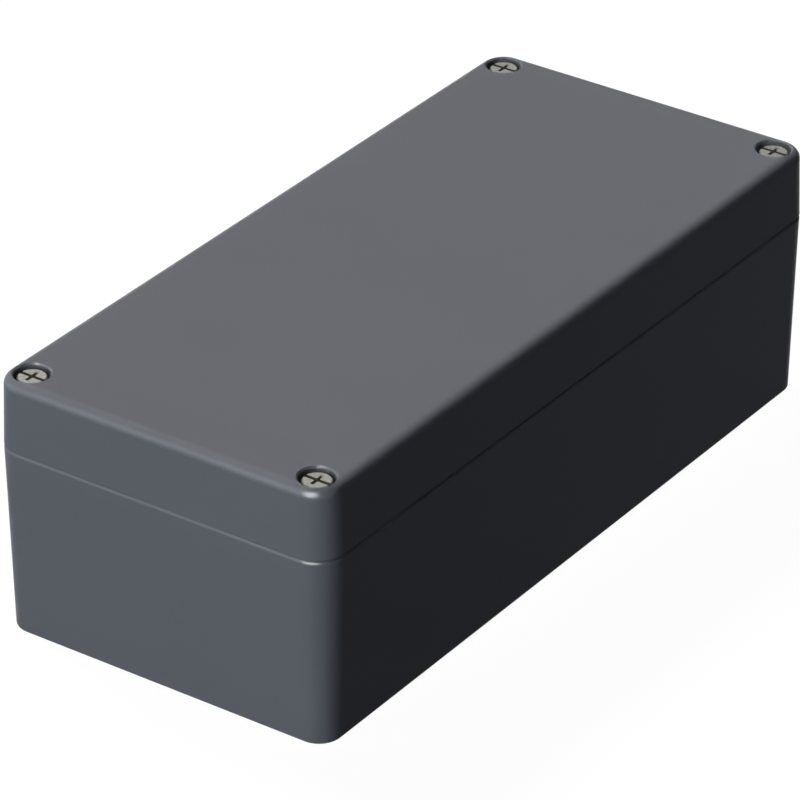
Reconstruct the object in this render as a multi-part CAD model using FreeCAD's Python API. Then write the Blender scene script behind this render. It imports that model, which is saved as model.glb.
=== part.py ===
import FreeCAD, Part
import math
import os

from FreeCAD import Vector

# Sizes in millimetres, angles in degrees. The origin is under the middle of the closed box,
# +X runs along its length, +Y across it and +Z up through the lid.

# Closed box, measured over the seam between lid and base, where both castings are widest
length = 175.0
width = 80.0
height = 57.0
lid_height = 15.3
corner_radius = 6.0
lid_draft = 1.9
base_draft = 1.32
lid_top_radius = 2.2
lid_seam_break = 0.15
base_seam_radius = 0.9
base_foot_radius = 0.6

# Castings inside
wall = 3.8
base_floor = 3.2
lid_top = 3.2
core_draft = 1.0
chamber_corner_radius = 4.5
block_corner_radius = 3.0
chamber_floor_break = 1.0
lid_cavity_break = 0.8

# Tongue on the base, groove and inner lip on the lid, gasket in the groove
tongue_width = 1.6
tongue_height = 2.2
tongue_lead = 0.3
tongue_clearance = 0.4
gasket_thickness = 2.0
lip_width = 1.6

# Lid screws, held captive, each in a sunk bore at a corner of the lid
screw_inset = 6.0
sunk_bore_radius = 3.7
sunk_bore_edge = 0.35
head_below_top = 0.75
head_radius = 3.0
head_height = 2.6
head_edge = 0.25
waist_radius = 1.6
thread_radius = 2.0
thread_length = 6.5
thread_clearance = 0.05
thread_lead = 0.5
shank_clearance = 0.3
screw_reach = 13.8
tapped_runout = 3.7
entry_slack = 0.5

# Combined recess in the screw heads: a slot right across, and a deeper cross
slot_width = 0.8
slot_depth = 1.0
recess_span = 3.7
recess_bottom_span = 1.5
recess_wing = 0.8
recess_bottom_wing = 0.45
recess_depth = 1.7

# Soft rings that keep the lid screws in the lid
ring_radius = 3.5
ring_thickness = 1.0
ring_grip_clearance = 0.05
ring_pocket_clearance = 0.1
ring_pocket_depth = 1.4

# Wall-fixing holes beside the lid screws, under the lid
fixing_offset = 8.0
fixing_hole_radius = 2.4
fixing_channel_radius = 3.9
fixing_seat = 6.0
corner_metal = 2.1

# Cast pillars on the floor for a rail or a circuit board
pillar_spacing_x = 130.0
pillar_spacing_y = 50.0
pillar_radius = 3.8
pillar_height = 8.0
pillar_core_radius = 1.8
pillar_core_floor = 0.8

# Earth terminal on a cast boss inside the base
earth_x = 0.0
earth_inset = 12.5
earth_boss_radius = 4.6
earth_boss_height = 6.0
earth_tapped_floor = 0.8
earth_head_radius = 3.5
earth_head_height = 2.6
earth_screw_length = 6.0
clamp_thickness = 1.0
clamp_corner = 0.6
clamp_lip = 1.4
clamp_lip_clearance = 0.3
spring_radius = 3.75
spring_thickness = 0.9
spring_cut = 0.9
washer_clearance = 0.15

# Planes and places that follow from the sizes
seam_z = height - lid_height
screw_x = length / 2 - screw_inset
screw_y = width / 2 - screw_inset
fixing_y = screw_y - fixing_offset
head_top_z = height - head_below_top
head_seat_z = head_top_z - head_height
groove_outer = tongue_width + tongue_clearance
groove_depth = tongue_height + gasket_thickness
lip_inner = tongue_clearance + lip_width
chamber_x = length / 2 - wall
chamber_y = width / 2 - wall
clamp_side = 2 * (spring_radius + clamp_lip_clearance + clamp_thickness)
block_x = screw_x - fixing_channel_radius - corner_metal - groove_outer
block_y = fixing_y - fixing_channel_radius - corner_metal - groove_outer
corners = {
    "front_left": (-1, -1),
    "front_right": (1, -1),
    "back_right": (1, 1),
    "back_left": (-1, 1),
}


def rounded_outline(points, radii, z):
    """A closed wire through square corners, each rounded to its own radius."""
    arcs = []
    for index, (x, y) in enumerate(points):
        corner = Vector(x, y, z)
        before = Vector(*points[index - 1], z)
        after = Vector(*points[(index + 1) % len(points)], z)
        along_in = (corner - before).normalize()
        along_out = (after - corner).normalize()
        radius = radii[index]
        centre = corner - along_in * radius + along_out * radius
        middle = centre + (corner - centre).normalize() * radius
        arcs.append((corner - along_in * radius, middle, corner + along_out * radius))
    edges = []
    for index, (start, middle, end) in enumerate(arcs):
        edges.append(Part.Arc(start, middle, end).toShape())
        edges.append(Part.LineSegment(end, arcs[(index + 1) % len(arcs)][0]).toShape())
    return Part.Wire(edges)


def outer_outline(z, inset):
    """The outside of the box, moved in by the draft at this height."""
    x = length / 2 - inset
    y = width / 2 - inset
    points = [(-x, -y), (x, -y), (x, y), (-x, y)]
    return rounded_outline(points, [corner_radius - inset] * 4, z)


def chamber_outline(z, grow):
    """The inside of the box with its four corner blocks left standing, grown outwards by grow."""
    x = chamber_x + grow
    y = chamber_y + grow
    bx = block_x + grow
    by = block_y + grow
    outside = chamber_corner_radius + grow
    inside = block_corner_radius - grow
    points = []
    radii = []
    for sx, sy in corners.values():
        turn = [(sx * x, sy * by), (sx * bx, sy * by), (sx * bx, sy * y)]
        if sx != sy:
            turn.reverse()
        points += turn
        radii += [outside, inside, outside]
    return rounded_outline(points, radii, z)


def between(lower, upper):
    """The solid with straight sides between two outlines."""
    return Part.makeLoft([lower, upper], True, True)


def chamber_band(outer, inner, z_low, z_high):
    """An upright band that follows the chamber, from one growth of its outline to another."""
    filled = between(chamber_outline(z_low, outer), chamber_outline(z_high, outer))
    return filled.cut(between(chamber_outline(z_low, inner), chamber_outline(z_high, inner)))


def round_post(radius, z_low, z_high, x, y):
    return Part.makeCylinder(radius, z_high - z_low, Vector(x, y, z_low))


def edges_at(shape, z):
    """The edges that lie in the level plane at z."""
    return [e for e in shape.Edges if abs(e.BoundBox.ZMin - z) < 1e-4 and abs(e.BoundBox.ZMax - z) < 1e-4]


def draft_shift(rise, draft):
    return rise * math.tan(math.radians(draft))


def lid_blank():
    """The lid's outside: drafted sides, a well rounded top edge and a barely broken seam edge."""
    inset = draft_shift(lid_height, lid_draft)
    blank = between(outer_outline(seam_z, 0), outer_outline(height, inset))
    blank = blank.makeFillet(lid_top_radius, edges_at(blank, height))
    return blank.makeChamfer(lid_seam_break, edges_at(blank, seam_z))


def lid_cavity():
    """The core that hollows the lid inside its lip."""
    rise = lid_height - lid_top
    upper = -lip_inner - draft_shift(rise, core_draft)
    core = between(chamber_outline(seam_z, -lip_inner), chamber_outline(seam_z + rise, upper))
    return core.makeChamfer(lid_cavity_break, edges_at(core, seam_z + rise))


def screw_bore_edges(shape, x, y):
    """The edges where the sunk bore at x, y meets the top of the lid."""
    found = []
    for edge in shape.Edges:
        reach = [math.hypot(v.X - x, v.Y - y) for v in edge.Vertexes]
        high = min(v.Z for v in edge.Vertexes) > head_top_z
        if high and max(abs(r - sunk_bore_radius) for r in reach) < 1e-3:
            found.append(edge)
    return found


def make_lid():
    lid = lid_blank().cut(lid_cavity())
    lid = lid.cut(chamber_band(groove_outer, -tongue_clearance, seam_z, seam_z + groove_depth))
    for sx, sy in corners.values():
        x = sx * screw_x
        y = sy * screw_y
        lid = lid.cut(round_post(sunk_bore_radius, head_seat_z, height, x, y))
        lid = lid.cut(round_post(thread_radius + shank_clearance, seam_z, head_seat_z, x, y))
        pocket = ring_radius + ring_pocket_clearance
        lid = lid.cut(round_post(pocket, seam_z, seam_z + ring_pocket_depth, x, y))
        lid = lid.makeChamfer(sunk_bore_edge, screw_bore_edges(lid, x, y))
    return lid


def base_blank():
    """The base's outside: drafted sides, a rounded rim at the seam and a rounded foot."""
    inset = draft_shift(seam_z, base_draft)
    blank = between(outer_outline(0, inset), outer_outline(seam_z, 0))
    blank = blank.makeFillet(base_seam_radius, edges_at(blank, seam_z))
    return blank.makeFillet(base_foot_radius, edges_at(blank, 0))


def base_chamber():
    """The core that hollows the base down to its floor."""
    lower = -draft_shift(seam_z - base_floor, core_draft)
    core = between(chamber_outline(base_floor, lower), chamber_outline(seam_z, 0))
    return core.makeChamfer(chamber_floor_break, edges_at(core, base_floor))


def seal_tongue():
    """The upright tongue that follows the chamber and presses into the gasket."""
    top = seam_z + tongue_height
    tongue = chamber_band(tongue_width, 0, seam_z, top)
    return tongue.makeChamfer(tongue_lead, edges_at(tongue, top))


def pillar_places():
    for sx, sy in corners.values():
        yield sx * pillar_spacing_x / 2, sy * pillar_spacing_y / 2


def earth_place():
    return earth_x, width / 2 - earth_inset


def make_base():
    base = base_blank().cut(base_chamber())
    base = base.fuse(seal_tongue())
    for x, y in pillar_places():
        base = base.fuse(round_post(pillar_radius, base_floor, base_floor + pillar_height, x, y))
    top = base_floor + earth_boss_height
    base = base.fuse(round_post(earth_boss_radius, base_floor, top, *earth_place()))
    base = base.removeSplitter()
    for x, y in pillar_places():
        top = base_floor + pillar_height
        base = base.cut(round_post(pillar_core_radius, base_floor + pillar_core_floor, top, x, y))
    top = base_floor + earth_boss_height
    tapped = thread_radius + thread_clearance
    low = base_floor + earth_tapped_floor
    base = base.cut(round_post(tapped, low, top, *earth_place()))
    for sx, sy in corners.values():
        x = sx * screw_x
        y = sy * screw_y
        entry_z = seam_z - screw_reach + thread_length + entry_slack
        low = seam_z - screw_reach - tapped_runout
        base = base.cut(round_post(tapped, low, seam_z, x, y))
        base = base.cut(round_post(thread_radius + shank_clearance, entry_z, seam_z, x, y))
        y = sy * fixing_y
        base = base.cut(round_post(fixing_channel_radius, fixing_seat, seam_z, x, y))
        base = base.cut(round_post(fixing_hole_radius, 0, fixing_seat, x, y))
    return base


def make_gasket():
    """The endless gasket that fills the top of the groove, down to the tongue."""
    low = seam_z + tongue_height
    return chamber_band(groove_outer, -tongue_clearance, low, low + gasket_thickness)


def recess_blade(top_z, turn):
    """One tapering blade of the cross recess, wide at the head's face and narrow below."""
    wires = []
    for span, wing, z in (
        (recess_span, recess_wing, top_z),
        (recess_bottom_span, recess_bottom_wing, top_z - recess_depth),
    ):
        x = span / 2
        y = wing / 2
        points = [Vector(-x, -y, z), Vector(x, -y, z), Vector(x, y, z), Vector(-x, y, z)]
        wires.append(Part.makePolygon(points + points[:1]))
    blade = Part.makeLoft(wires, True, True)
    blade.rotate(Vector(0, 0, 0), Vector(0, 0, 1), turn)
    return blade


def screw_head(radius, tall, top_z):
    """A cylindrical head with a broken edge and a combined slot and cross recess, on the Z axis."""
    head = Part.makeCylinder(radius, tall, Vector(0, 0, top_z - tall))
    head = head.makeChamfer(head_edge, edges_at(head, top_z))
    corner = Vector(-slot_width / 2, -radius, top_z - slot_depth)
    head = head.cut(Part.makeBox(slot_width, 2 * radius, slot_depth, corner))
    for turn in (0, 90):
        head = head.cut(recess_blade(top_z, turn))
    return head


def thread_end(z_low, z_high):
    """The threaded length of a screw with a short lead at its tip."""
    end = Part.makeCylinder(thread_radius, z_high - z_low, Vector(0, 0, z_low))
    return end.makeChamfer(thread_lead, edges_at(end, z_low))


def make_lid_screw(x, y):
    """A lid screw: head, waisted shank that the ring grips, and a short threaded end."""
    tip_z = seam_z - screw_reach
    thread_z = tip_z + thread_length
    waist = Part.makeCylinder(waist_radius, head_seat_z - thread_z, Vector(0, 0, thread_z))
    screw = screw_head(head_radius, head_height, head_top_z).fuse(waist)
    screw = screw.fuse(thread_end(tip_z, thread_z))
    screw.translate(Vector(x, y, 0))
    return screw


def make_screw_ring(x, y):
    """The soft ring round a lid screw's waist, up against the end of its pocket."""
    top = seam_z + ring_pocket_depth
    ring = round_post(ring_radius, top - ring_thickness, top, x, y)
    return ring.cut(round_post(waist_radius + ring_grip_clearance, top - ring_thickness, top, x, y))


def make_wire_clamp():
    """The square clamp plate with two turned-up lips beside the screw's head."""
    x, y = earth_place()
    z = base_floor + earth_boss_height
    half = clamp_side / 2
    plate = Part.makeBox(clamp_side, clamp_side, clamp_thickness, Vector(x - half, y - half, z))
    upright = [e for e in plate.Edges if abs(e.BoundBox.ZLength - clamp_thickness) < 1e-6]
    plate = plate.makeFillet(clamp_corner, upright)
    lip_span = clamp_side - 2 * clamp_corner
    for side in (-1, 1):
        edge = x + side * half
        low = min(edge, edge - side * clamp_thickness)
        corner = Vector(low, y - lip_span / 2, z)
        plate = plate.fuse(Part.makeBox(clamp_thickness, lip_span, clamp_thickness + clamp_lip, corner))
    hole = thread_radius + washer_clearance
    return plate.removeSplitter().cut(round_post(hole, z, z + clamp_thickness, x, y))


def make_spring_washer():
    """The split spring washer, pressed flat under the earth screw's head."""
    x, y = earth_place()
    low = base_floor + earth_boss_height + clamp_thickness
    top = low + spring_thickness
    washer = round_post(spring_radius, low, top, x, y)
    washer = washer.cut(round_post(thread_radius + washer_clearance, low, top, x, y))
    gap = Part.makeBox(spring_radius, spring_cut, spring_thickness, Vector(0, -spring_cut / 2, low))
    gap.translate(Vector(x, y, 0))
    return washer.cut(gap)


def make_earth_screw():
    x, y = earth_place()
    seat = base_floor + earth_boss_height + clamp_thickness + spring_thickness
    screw = screw_head(earth_head_radius, earth_head_height, seat + earth_head_height)
    screw = screw.fuse(thread_end(seat - earth_screw_length, seat))
    screw.translate(Vector(x, y, 0))
    return screw


def main():
    pieces = {
        "base": make_base(),
        "lid": make_lid(),
        "lid_gasket": make_gasket(),
        "earth_wire_clamp": make_wire_clamp(),
        "earth_spring_washer": make_spring_washer(),
        "earth_screw": make_earth_screw(),
    }
    for name, (sx, sy) in corners.items():
        pieces["lid_screw_" + name] = make_lid_screw(sx * screw_x, sy * screw_y)
        pieces["screw_ring_" + name] = make_screw_ring(sx * screw_x, sy * screw_y)
    os.makedirs("parts", exist_ok=True)
    for name, shape in pieces.items():
        shape.exportStep("parts/" + name + ".step")
        print(name, "valid", shape.isValid(), "solids", len(shape.Solids), "volume", round(shape.Volume, 1))


main()
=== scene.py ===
import bpy
import math
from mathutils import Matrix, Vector


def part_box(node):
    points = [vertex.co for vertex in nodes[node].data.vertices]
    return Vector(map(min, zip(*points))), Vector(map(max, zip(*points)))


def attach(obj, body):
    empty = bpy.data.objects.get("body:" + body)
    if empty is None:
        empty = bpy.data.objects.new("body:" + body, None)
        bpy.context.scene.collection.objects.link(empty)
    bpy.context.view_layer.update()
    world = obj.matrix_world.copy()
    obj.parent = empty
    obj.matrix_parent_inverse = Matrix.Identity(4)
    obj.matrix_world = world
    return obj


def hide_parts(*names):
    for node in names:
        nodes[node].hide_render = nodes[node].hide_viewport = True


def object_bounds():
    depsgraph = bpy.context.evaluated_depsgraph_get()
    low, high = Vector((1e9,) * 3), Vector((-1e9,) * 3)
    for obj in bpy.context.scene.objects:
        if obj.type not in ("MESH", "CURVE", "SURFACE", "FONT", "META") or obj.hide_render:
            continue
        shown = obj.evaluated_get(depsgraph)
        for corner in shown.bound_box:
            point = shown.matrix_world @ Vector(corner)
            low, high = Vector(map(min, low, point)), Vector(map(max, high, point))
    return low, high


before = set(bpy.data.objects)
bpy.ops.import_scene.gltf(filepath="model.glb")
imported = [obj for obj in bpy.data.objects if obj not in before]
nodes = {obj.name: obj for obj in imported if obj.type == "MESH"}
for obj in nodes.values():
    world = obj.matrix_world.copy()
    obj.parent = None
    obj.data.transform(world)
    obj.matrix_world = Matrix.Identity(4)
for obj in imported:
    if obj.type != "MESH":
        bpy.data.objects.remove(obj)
cad_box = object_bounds()

# Sizes in metres, angles in degrees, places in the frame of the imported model
mm = 0.001

# The photograph's view, as turns about the object
view_azimuth = -54.98
view_elevation = 30.07
view_distance = 1.0849
view_shift_right = -0.00341
view_shift_up = -0.00426
view_lens = 239.5
sensor_width = 36.0

# Lamps: the direction that the light comes from, its strength as the brightness of a white
# sheet that faces it, its colour and its softness
lamps = {
    "back_lamp": ((0.241, 0.633, 0.736), 1.0, (1.02, 1.0, 1.01), 20),
    "edge_lamp": ((-0.793, 0.32, 0.519), 0.22, (1.07, 1.0, 0.87), 32),
    "side_lamp": ((-0.993, -0.05, 0.109), 0.595, (0.89, 1.0, 1.11), 23),
}
room_light = 0.032
room_tint = (0.85, 0.85, 1.45)

# A soft box that is only seen mirrored in gloss
soft_box_from = (-0.815, -0.119, 0.567)
soft_box_level = 90.0
soft_box_width = 52

# Floor
floor_half = 3.0
floor_gap = 0.2 * mm
floor_glow = 0.96
floor_paper = 0.07
floor_dim = 0.03

# Screws: the head's recess, the waist and the thread
screw_corners = ("front_left", "front_right", "back_right", "back_left")
head_height = 2.6 * mm
head_edge = 0.25 * mm
slot_width = 0.8 * mm
slot_depth = 1.0 * mm
cross_span = 3.7 * mm
cross_wing = 0.8 * mm
cross_taper = 0.45
cross_depth = 1.7 * mm
waist_radius = 1.6 * mm
lid_thread_length = 6.5 * mm
thread_crest = 1.97 * mm
thread_core = 1.62 * mm
thread_pitch = 0.7 * mm
thread_lead = 0.5 * mm
thread_steps = 24
ridge_size = 0.8 * (thread_crest - thread_core)
edge_round = 0.04 * mm
edge_round_angle = 50
smooth_angle = 35
weld_gap = 0.002 * mm
round_sides = 64

# Paint. A tilt is how far a surface faces up, or for side_tilts to a long side, from 0 to 1.
paint_colour = (105.2, 107.5, 111.3)
paint_gloss = 0.01
paint_roughness = (0.245, 0.255)
paint_roughness_size = 12 * mm
paint_clouds = (0.985, 1.015)
paint_cloud_size = 40 * mm
paint_grain_size = 0.7 * mm
paint_grain_depth = 0.01 * mm
paint_grain_strength = 0.3
# Painted highlight: the rounded edges, most of all at the short ends, are painted lighter by this factor
edge_highlight_lift = 1.42
edge_tilt_middle = 0.5
edge_tilt_end = 0.82
side_tilts = (0.3, 0.65)
long_edge_share = 0.42
long_edge_heights = (1 * mm, 5 * mm)
# Painted shade: the seam along the long sides is painted darker by this factor, within this reach
seam_shade = 0.8
seam_shade_reach = 0.45 * mm

# Steel of the lid screws
steel_colour = (121, 121, 115.5)
steel_mottle = (0.72, 1.16)
steel_mottle_size = 0.8 * mm
steel_mottle_detail = 3.0
steel_roughness = (0.4, 0.5)
steel_roughness_size = 0.3 * mm
steel_ring_width = 0.6 * mm
steel_ring_wobble = 0.3
steel_ring_depth = 0.002 * mm
steel_ring_strength = 0.4
# Painted shade: below the head's top face the steel takes this duller, darker, less metallic colour
recess_shade_colour = (120, 117, 96)
recess_shade_metallic = 0.2
recess_shade_heights = (-0.3 * mm, -0.02 * mm)

# Plain finishes: colour, roughness, metallic, size and depth of the grain
finishes = {
    "foam_rubber": ((48, 48, 50), 0.9, 0.0, 0.5 * mm, 0.08 * mm),
    "ring_nylon": ((214, 210, 198), 0.45, 0.0, 0.8 * mm, 0.005 * mm),
    "plated_brass": ((205, 190, 140), 0.3, 1.0, 0.6 * mm, 0.003 * mm),
    "brass_of_earth_screw": ((205, 190, 140), 0.3, 1.0, 0.4 * mm, 0.002 * mm),
    "spring_steel": ((170, 170, 166), 0.35, 1.0, 0.3 * mm, 0.002 * mm),
}
grain_tones = (0.92, 1.08)
grain_roughness = 0.05
grain_strength = 0.5


def rgb(red, green, blue):
    """A colour written as it looks on a screen, from 0 to 255, as the light values that shaders take."""
    values = []
    for channel in (red, green, blue):
        c = channel / 255
        values.append(c / 12.92 if c <= 0.04045 else ((c + 0.055) / 1.055) ** 2.4)
    return (*values, 1.0)


def node_centre(node):
    low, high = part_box(node)
    return (Vector(low) + Vector(high)) / 2


def node_top(node):
    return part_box(node)[1][2]


def edit(shape):
    """Makes a piece the only selected one and opens it for editing with all of it selected."""
    bpy.ops.object.select_all(action="DESELECT")
    shape.select_set(True)
    bpy.context.view_layer.objects.active = shape
    bpy.ops.object.mode_set(mode="EDIT")
    bpy.ops.mesh.select_all(action="SELECT")


def close():
    bpy.ops.object.mode_set(mode="OBJECT")


def shift(x, y, z):
    bpy.ops.transform.translate(value=(x, y, z))


def scale(x, y, z):
    bpy.ops.transform.resize(value=(x, y, z), center_override=(0, 0, 0))


def apply_modifier(shape, kind, **settings):
    """Adds a modifier with its settings and applies it."""
    modifier = shape.modifiers.new(kind.lower(), kind)
    for name, value in settings.items():
        setattr(modifier, name, value)
    bpy.ops.object.select_all(action="DESELECT")
    shape.select_set(True)
    bpy.context.view_layer.objects.active = shape
    bpy.ops.object.modifier_apply(modifier=modifier.name)


def combine(shape, tool, operation):
    """Cuts or adds a tool piece and removes it."""
    apply_modifier(shape, "BOOLEAN", operation=operation, object=tool, solver="EXACT")
    bpy.data.objects.remove(tool)


def turned(profile):
    """A turned solid on the Z axis, through pairs of radius and height."""
    radius, height = profile[0]
    bpy.ops.object.select_all(action="DESELECT")
    bpy.ops.mesh.primitive_circle_add(vertices=round_sides, radius=radius, fill_type="NGON")
    shape = bpy.context.object
    edit(shape)
    shift(0, 0, height)
    for next_radius, next_height in profile[1:]:
        bpy.ops.mesh.extrude_region_move()
        shift(0, 0, next_height - height)
        scale(next_radius / radius, next_radius / radius, 1)
        radius, height = next_radius, next_height
    close()
    return shape


def slot_cutter():
    """The straight slot across a head whose top is at height 0."""
    bpy.ops.object.select_all(action="DESELECT")
    bpy.ops.mesh.primitive_cube_add(size=1)
    cutter = bpy.context.object
    edit(cutter)
    scale(slot_width, 10 * mm, 2 * slot_depth)
    close()
    return cutter


def cross_cutter(turn):
    """One blade of the cross, wide at the top of the head and narrow below."""
    bpy.ops.object.select_all(action="DESELECT")
    widen = 1 + (1 - cross_taper)
    bpy.ops.mesh.primitive_cone_add(
        vertices=4,
        radius1=cross_taper * math.sqrt(0.5),
        radius2=widen * math.sqrt(0.5),
        depth=2,
    )
    cutter = bpy.context.object
    edit(cutter)
    bpy.ops.transform.rotate(value=math.radians(45), orient_axis="Z", center_override=(0, 0, 0))
    scale(cross_span, cross_wing, cross_depth)
    bpy.ops.transform.rotate(value=math.radians(turn), orient_axis="Z", center_override=(0, 0, 0))
    close()
    return cutter


def thread_ridge(low, high):
    """The ridge of a thread that climbs round the Z axis from one height to another."""
    turns = int((high - low) / thread_pitch) - 1
    bpy.ops.object.select_all(action="DESELECT")
    bpy.ops.mesh.primitive_circle_add(vertices=3, radius=ridge_size)
    ridge = bpy.context.object
    edit(ridge)
    bpy.ops.transform.rotate(value=math.radians(90), orient_axis="X", center_override=(0, 0, 0))
    bpy.ops.transform.rotate(value=math.radians(90), orient_axis="Y", center_override=(0, 0, 0))
    close()
    reach = max(v.co.x for v in ridge.data.vertices)
    edit(ridge)
    shift(thread_crest - reach, 0, low + thread_pitch / 2)
    close()
    apply_modifier(ridge, "SCREW", axis="Z", angle=math.tau, steps=thread_steps,
                   screw_offset=thread_pitch, iterations=turns, use_merge_vertices=False)
    edit(ridge)
    bpy.ops.mesh.fill_holes(sides=3)
    bpy.ops.mesh.normals_make_consistent(inside=False)
    close()
    return ridge


def cut_recess(screw):
    combine(screw, slot_cutter(), "DIFFERENCE")
    for turn in (0, 90):
        combine(screw, cross_cutter(turn), "DIFFERENCE")


def screw_shape(head_radius, tall, waist_low):
    """A screw with its head's top at height 0, a waist down to waist_low and a thread below it."""
    tip = -tall
    seat = -head_height
    profile = [(head_radius - head_edge, 0), (head_radius, -head_edge), (head_radius, seat)]
    if waist_low < seat:
        profile += [(waist_radius, seat), (waist_radius, waist_low)]
    profile += [(thread_core, min(seat, waist_low)), (thread_core, tip + thread_lead)]
    profile += [(thread_core - thread_lead / 2, tip)]
    screw = turned(profile)
    edit(screw)
    bpy.ops.mesh.normals_make_consistent(inside=False)
    close()
    cut_recess(screw)
    apply_modifier(screw, "BEVEL", width=edge_round, segments=2, limit_method="ANGLE",
                   angle_limit=math.radians(edge_round_angle), use_clamp_overlap=True)
    combine(screw, thread_ridge(tip + thread_lead / 2, min(seat, waist_low)), "UNION")
    edit(screw)
    bpy.ops.mesh.remove_doubles(threshold=weld_gap)
    bpy.ops.mesh.normals_make_consistent(inside=False)
    close()
    bpy.ops.object.shade_smooth_by_angle(angle=math.radians(smooth_angle))
    apply_modifier(screw, "WEIGHTED_NORMAL", keep_sharp=True)
    return screw


def place_screw(screw, node, name):
    """A copy of a screw with its own mesh, put where its node is and riding in its place."""
    piece = screw.copy()
    piece.data = screw.data.copy()
    piece.name = name
    bpy.context.scene.collection.objects.link(piece)
    centre = node_centre(node)
    edit(piece)
    shift(centre.x, centre.y, node_top(node))
    close()
    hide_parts(node)
    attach(piece, "root")
    return piece


def new_material(name):
    """An empty node material and its tree and shader."""
    material = bpy.data.materials.new(name)
    material.use_nodes = True
    tree = material.node_tree
    shader = tree.nodes["Principled BSDF"]
    return material, tree, shader


def add_node(tree, kind, **settings):
    node = tree.nodes.new(kind)
    for name, value in settings.items():
        setattr(node, name, value)
    return node


def object_place(tree, centre=(0, 0, 0)):
    """Object coordinates counted from a centre."""
    place = add_node(tree, "ShaderNodeTexCoord")
    moved = add_node(tree, "ShaderNodeMapping")
    moved.inputs["Location"].default_value = tuple(-c for c in centre)
    tree.links.new(place.outputs["Object"], moved.inputs["Vector"])
    return moved.outputs["Vector"]


def noise(tree, place, bump_size, detail=2.0):
    """Noise with bumps of about the given size."""
    texture = add_node(tree, "ShaderNodeTexNoise")
    texture.inputs["Scale"].default_value = 1 / bump_size
    texture.inputs["Detail"].default_value = detail
    tree.links.new(place, texture.inputs["Vector"])
    return texture.outputs["Fac"]


def spread(tree, value, low, high, low_in=0.3, high_in=0.7):
    """A value spread from low to high as it goes from low_in to high_in."""
    ranged = add_node(tree, "ShaderNodeMapRange")
    ranged.inputs["From Min"].default_value = low_in
    ranged.inputs["From Max"].default_value = high_in
    ranged.inputs["To Min"].default_value = low
    ranged.inputs["To Max"].default_value = high
    tree.links.new(value, ranged.inputs["Value"])
    return ranged.outputs["Result"]


def calculate(tree, operation, first, second):
    """A sum on two values, each a socket or a number."""
    maths = add_node(tree, "ShaderNodeMath", operation=operation)
    for index, value in enumerate((first, second)):
        if isinstance(value, (int, float)):
            maths.inputs[index].default_value = value
        else:
            tree.links.new(value, maths.inputs[index])
    return maths.outputs["Value"]


def colour_times(tree, colour, factor):
    """A colour made lighter or darker by a value."""
    product = add_node(tree, "ShaderNodeVectorMath", operation="SCALE")
    product.inputs[0].default_value = colour[:3]
    tree.links.new(factor, product.inputs["Scale"])
    return product.outputs["Vector"]


def add_bump(tree, shader, height, distance, strength=1.0):
    bump = add_node(tree, "ShaderNodeBump")
    bump.inputs["Distance"].default_value = distance
    bump.inputs["Strength"].default_value = strength
    tree.links.new(height, bump.inputs["Height"])
    tree.links.new(bump.outputs["Normal"], shader.inputs["Normal"])


def faces_long_side(tree):
    """1 where the surface faces one of the two long sides, 0 where it faces a short end or up."""
    surface = add_node(tree, "ShaderNodeNewGeometry")
    split = add_node(tree, "ShaderNodeSeparateXYZ")
    tree.links.new(surface.outputs["Normal"], split.inputs["Vector"])
    return spread(tree, calculate(tree, "ABSOLUTE", split.outputs["Y"], 0.0), 0.0, 1.0, *side_tilts)


def above_seam(tree, place):
    """The height above the seam between base and lid."""
    split = add_node(tree, "ShaderNodeSeparateXYZ")
    tree.links.new(place, split.inputs["Vector"])
    return calculate(tree, "SUBTRACT", split.outputs["Z"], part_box("lid")[0][2])


def painted_highlight_mask(tree, place):
    """Where the painted highlight goes: 1 on the rounded edges of the two short ends, less on the long
    top edges, 0 elsewhere.
    """
    surface = add_node(tree, "ShaderNodeNewGeometry")
    split = add_node(tree, "ShaderNodeSeparateXYZ")
    ramp = add_node(tree, "ShaderNodeValToRGB")
    ramp.color_ramp.interpolation = "EASE"
    ramp.color_ramp.elements[0].color = (0, 0, 0, 1)
    ramp.color_ramp.elements[1].position = edge_tilt_end
    ramp.color_ramp.elements[1].color = (0, 0, 0, 1)
    middle = ramp.color_ramp.elements.new(edge_tilt_middle)
    middle.color = (1, 1, 1, 1)
    tree.links.new(surface.outputs["Normal"], split.inputs["Vector"])
    tree.links.new(split.outputs["Z"], ramp.inputs["Fac"])
    ends = calculate(tree, "SUBTRACT", 1.0, faces_long_side(tree))
    long_edges = spread(tree, above_seam(tree, place), 0.0, long_edge_share, *long_edge_heights)
    share = calculate(tree, "MAXIMUM", ends, long_edges)
    return calculate(tree, "MULTIPLY", ramp.outputs["Color"], share)


def painted_seam_shade_mask(tree, place):
    """Where the painted shade goes: 1 at the seam along the two long sides, 0 elsewhere."""
    away = calculate(tree, "ABSOLUTE", above_seam(tree, place), 0.0)
    near = calculate(tree, "LESS_THAN", away, seam_shade_reach)
    return calculate(tree, "MULTIPLY", near, faces_long_side(tree))


def painted_casting():
    """Satin paint on an aluminium casting, with a painted highlight over the rounded edges and painted
    shade in the long seams.
    """
    material, tree, shader = new_material("painted_casting")
    place = object_place(tree)
    clouds = spread(tree, noise(tree, place, paint_cloud_size), *paint_clouds)
    # painted highlight: the rounded edges are made lighter in colour
    edges = painted_highlight_mask(tree, place)
    lift = spread(tree, edges, 1.0, edge_highlight_lift, 0, 1)
    # painted shade: the long seams are made darker in colour
    seams = spread(tree, painted_seam_shade_mask(tree, place), 1.0, seam_shade, 0, 1)
    tone = calculate(tree, "MULTIPLY", calculate(tree, "MULTIPLY", clouds, lift), seams)
    tree.links.new(colour_times(tree, rgb(*paint_colour), tone), shader.inputs["Base Color"])
    shader.inputs["Specular IOR Level"].default_value = paint_gloss
    roughness = spread(tree, noise(tree, place, paint_roughness_size), *paint_roughness)
    tree.links.new(roughness, shader.inputs["Roughness"])
    grain = noise(tree, place, paint_grain_size)
    add_bump(tree, shader, grain, paint_grain_depth, paint_grain_strength)
    return material


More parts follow.
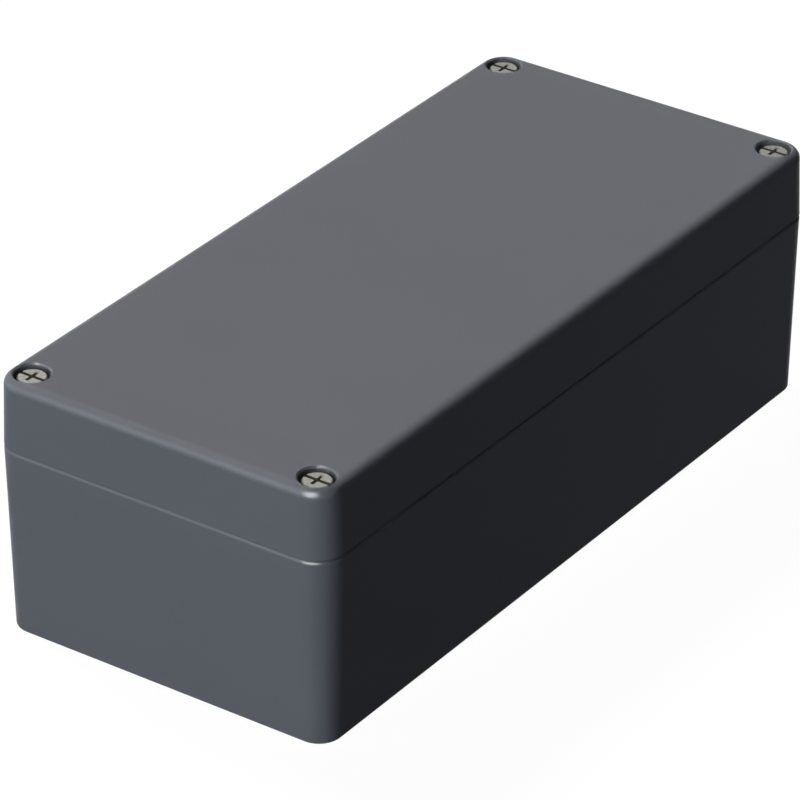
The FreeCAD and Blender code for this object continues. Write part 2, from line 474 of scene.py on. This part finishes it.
def turned_steel(node):
    """Stainless steel with faint turning rings about the screw's axis, and painted shade below the
    head's top face that makes the recess duller and darker.
    """
    material, tree, shader = new_material("steel_of_" + node)
    centre = node_centre(node)
    top = node_top(node)
    place = object_place(tree, (centre.x, centre.y, top))
    split = add_node(tree, "ShaderNodeSeparateXYZ")
    tree.links.new(place, split.inputs["Vector"])
    # painted shade: below the head's top the colour turns duller, darker and less metallic
    unshaded = spread(tree, split.outputs["Z"], 0.0, 1.0, *recess_shade_heights)
    mottle = spread(tree, noise(tree, place, steel_mottle_size, steel_mottle_detail), *steel_mottle)
    colour = add_node(tree, "ShaderNodeMix", data_type="RGBA")
    colour.inputs["A"].default_value = rgb(*recess_shade_colour)
    tree.links.new(unshaded, colour.inputs["Factor"])
    tree.links.new(colour_times(tree, rgb(*steel_colour), mottle), colour.inputs["B"])
    tree.links.new(colour.outputs["Result"], shader.inputs["Base Color"])
    tree.links.new(spread(tree, unshaded, recess_shade_metallic, 1.0, 0, 1), shader.inputs["Metallic"])
    roughness = spread(tree, noise(tree, place, steel_roughness_size), *steel_roughness)
    tree.links.new(roughness, shader.inputs["Roughness"])
    rings = add_node(tree, "ShaderNodeTexWave", wave_type="RINGS", rings_direction="Z")
    rings.inputs["Scale"].default_value = 1 / steel_ring_width
    rings.inputs["Distortion"].default_value = steel_ring_wobble
    tree.links.new(place, rings.inputs["Vector"])
    add_bump(tree, shader, rings.outputs["Fac"], steel_ring_depth, steel_ring_strength)
    return material


def plain_finish(name):
    """A finish of one colour with a grain of its own size and depth."""
    colour, roughness, metallic, grain_size, grain_depth = finishes[name]
    material, tree, shader = new_material(name)
    place = object_place(tree)
    grains = noise(tree, place, grain_size)
    tone = colour_times(tree, rgb(*colour), spread(tree, grains, *grain_tones))
    dullness = spread(tree, grains, roughness - grain_roughness, roughness + grain_roughness)
    tree.links.new(tone, shader.inputs["Base Color"])
    tree.links.new(dullness, shader.inputs["Roughness"])
    shader.inputs["Metallic"].default_value = metallic
    add_bump(tree, shader, grains, grain_depth, grain_strength)
    return material


def dress(node, material):
    """Gives a node of the frame its finish."""
    for slot in nodes[node].material_slots:
        slot.material = material


def make_screws():
    """The lid screws and the earth screw, modelled once each and put in place of their nodes."""
    low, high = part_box("lid_screw_front_left")
    tall = high[2] - low[2]
    lid_screw = screw_shape((high[0] - low[0]) / 2, tall, lid_thread_length - tall)
    for corner in screw_corners:
        node = "lid_screw_" + corner
        piece = place_screw(lid_screw, node, "screw_" + corner)
        piece.data.materials.append(turned_steel(node))
    bpy.data.objects.remove(lid_screw)
    low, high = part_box("earth_screw")
    earth_screw = screw_shape((high[0] - low[0]) / 2, high[2] - low[2], 0)
    piece = place_screw(earth_screw, "earth_screw", "screw_earth")
    piece.data.materials.append(plain_finish("brass_of_earth_screw"))
    bpy.data.objects.remove(earth_screw)


def dress_nodes():
    """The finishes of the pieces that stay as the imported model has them."""
    paint = painted_casting()
    dress("base", paint)
    dress("lid", paint)
    dress("lid_gasket", plain_finish("foam_rubber"))
    ring = plain_finish("ring_nylon")
    for corner in screw_corners:
        dress("screw_ring_" + corner, ring)
    dress("earth_wire_clamp", plain_finish("plated_brass"))
    dress("earth_spring_washer", plain_finish("spring_steel"))


def seen_directly(tree):
    """1 for rays from the camera, in reflections and through glass, 0 for light on the object."""
    path = add_node(tree, "ShaderNodeLightPath")
    seen = calculate(tree, "MAXIMUM", path.outputs["Is Camera Ray"], path.outputs["Is Glossy Ray"])
    return calculate(tree, "MAXIMUM", seen, path.outputs["Is Transmission Ray"])


def make_floor():
    """The pale floor: white to the camera and in reflections, with the object's soft shadow."""
    bpy.ops.object.select_all(action="DESELECT")
    bpy.ops.mesh.primitive_plane_add(size=2 * floor_half, location=(0, 0, -floor_gap))
    floor = bpy.context.object
    floor.name = "floor"
    material, tree, shader = new_material("floor_paper")
    tree.nodes.remove(shader)
    output = tree.nodes["Material Output"]
    glow = add_node(tree, "ShaderNodeEmission")
    glow.inputs["Strength"].default_value = floor_glow
    paper = add_node(tree, "ShaderNodeBsdfDiffuse")
    paper.inputs["Color"].default_value = (floor_paper, floor_paper, floor_paper, 1)
    both = add_node(tree, "ShaderNodeAddShader")
    dim = add_node(tree, "ShaderNodeBsdfDiffuse")
    dim.inputs["Color"].default_value = (floor_dim, floor_dim, floor_dim, 1)
    mix = add_node(tree, "ShaderNodeMixShader")
    tree.links.new(glow.outputs[0], both.inputs[0])
    tree.links.new(paper.outputs[0], both.inputs[1])
    tree.links.new(seen_directly(tree), mix.inputs[0])
    tree.links.new(dim.outputs[0], mix.inputs[1])
    tree.links.new(both.outputs[0], mix.inputs[2])
    tree.links.new(mix.outputs[0], output.inputs["Surface"])
    floor.data.materials.append(material)


def make_room():
    """A white room to the camera and in reflections, which lights the object dimly."""
    world = bpy.data.worlds.new("room")
    bpy.context.scene.world = world
    world.use_nodes = True
    tree = world.node_tree
    tree.nodes.clear()
    output = tree.nodes.new("ShaderNodeOutputWorld")
    white = add_node(tree, "ShaderNodeBackground")
    white.inputs["Color"].default_value = (1, 1, 1, 1)
    dim = add_node(tree, "ShaderNodeBackground")
    dim.inputs["Color"].default_value = (*room_tint, 1)
    dim.inputs["Strength"].default_value = room_light
    mix = add_node(tree, "ShaderNodeMixShader")
    tree.links.new(seen_directly(tree), mix.inputs[0])
    tree.links.new(dim.outputs[0], mix.inputs[1])
    tree.links.new(white.outputs[0], mix.inputs[2])
    tree.links.new(mix.outputs[0], output.inputs["Surface"])


def make_lamp(name, direction, level, tint, softness):
    data = bpy.data.lights.new(name, "SUN")
    data.energy = math.pi * level
    data.color = tint
    data.angle = math.radians(softness)
    lamp = bpy.data.objects.new(name, data)
    bpy.context.scene.collection.objects.link(lamp)
    lamp.rotation_mode = "QUATERNION"
    lamp.rotation_quaternion = Vector(direction).to_track_quat("Z", "Y")
    return lamp


def make_lamps():
    for name, settings in lamps.items():
        make_lamp(name, *settings)
    soft_box = make_lamp("soft_box", soft_box_from, soft_box_level, (1, 1, 1), soft_box_width)
    soft_box.visible_diffuse = False
    shone_on = bpy.data.collections.new("shone_on")
    for node in ("base", "lid"):
        shone_on.objects.link(nodes[node])
    soft_box.light_linking.receiver_collection = shone_on


def make_camera():
    azimuth = math.radians(view_azimuth)
    elevation = math.radians(view_elevation)
    back = Vector((
        math.sin(azimuth) * math.cos(elevation),
        -math.cos(azimuth) * math.cos(elevation),
        math.sin(elevation),
    ))
    right = Vector((math.cos(azimuth), math.sin(azimuth), 0))
    up = back.cross(right)
    middle = (cad_box[0] + cad_box[1]) / 2
    data = bpy.data.cameras.new("camera")
    data.lens = view_lens
    data.sensor_width = sensor_width
    camera = bpy.data.objects.new("camera", data)
    bpy.context.scene.collection.objects.link(camera)
    camera.location = middle + back * view_distance + right * view_shift_right + up * view_shift_up
    camera.rotation_mode = "QUATERNION"
    camera.rotation_quaternion = back.to_track_quat("Z", "Y")
    bpy.context.scene.camera = camera


def main():
    dress_nodes()
    make_screws()
    make_floor()
    make_room()
    make_lamps()
    make_camera()
    bpy.context.scene.view_settings.view_transform = "Standard"


main()
